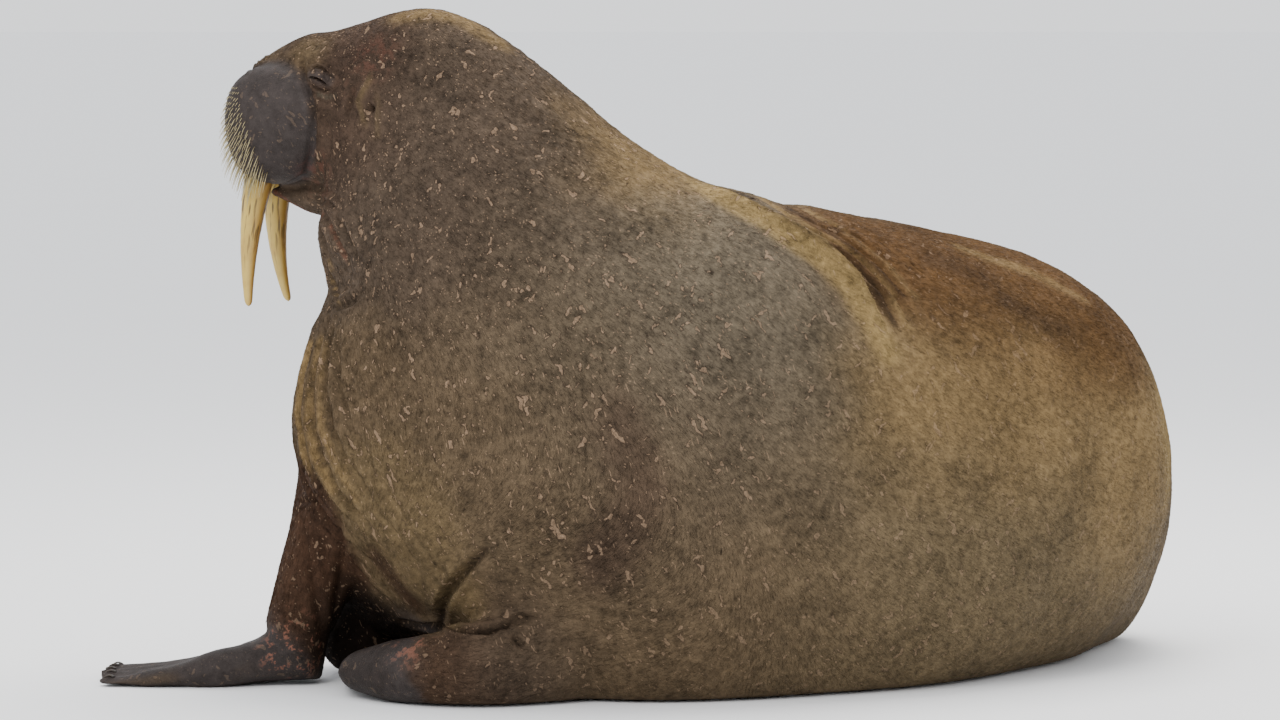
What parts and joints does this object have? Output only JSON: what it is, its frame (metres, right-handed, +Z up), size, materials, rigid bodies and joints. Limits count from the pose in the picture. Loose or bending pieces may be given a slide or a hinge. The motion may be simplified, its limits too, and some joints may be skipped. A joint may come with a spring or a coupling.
{
  "type": "walrus",
  "caption": "Life-size still bull walrus sitting up on its foreflippers, head raised and turned a little, with long tusks, a bristled muzzle and its rear curled round.",
  "frame": {"origin": "middle of the box round the animal, on the floor plane it rests on", "axes": "+X runs from the muzzle to the rump, +Y to the animal's right side where the rear curls, +Z up"},
  "size_m": [2.4958, 1.8918, 1.5092],
  "materials": {
    "hide": "thick olive and tan brown hide with short flat hair",
    "hide_dark": "dark grey brown hide, sparse hair, pale scars",
    "lips": "slate grey bare skin",
    "flipper_hide": "dark brown to slate bare skin with rough ridges",
    "ivory": "cream ivory with fine lengthwise cracks",
    "eye": "wet and nearly black"
  },
  "bodies": {
    "root": {"head": "hide_dark", "lower_jaw": "lips", "whisker_pad_left": "lips", "whisker_pad_right": "lips", "tusk_left": "ivory", "tusk_right": "ivory", "eye_left": "eye", "eye_right": "eye", "neck": "hide_dark", "chest": "hide", "belly": "hide", "hips": "hide", "tail": "hide", "forearm_left": "flipper_hide", "forearm_right": "flipper_hide", "hand_left": "flipper_hide", "hand_right": "flipper_hide", "hindflipper_left": "flipper_hide", "hindflipper_right": "flipper_hide"}
  },
  "joints": []
}
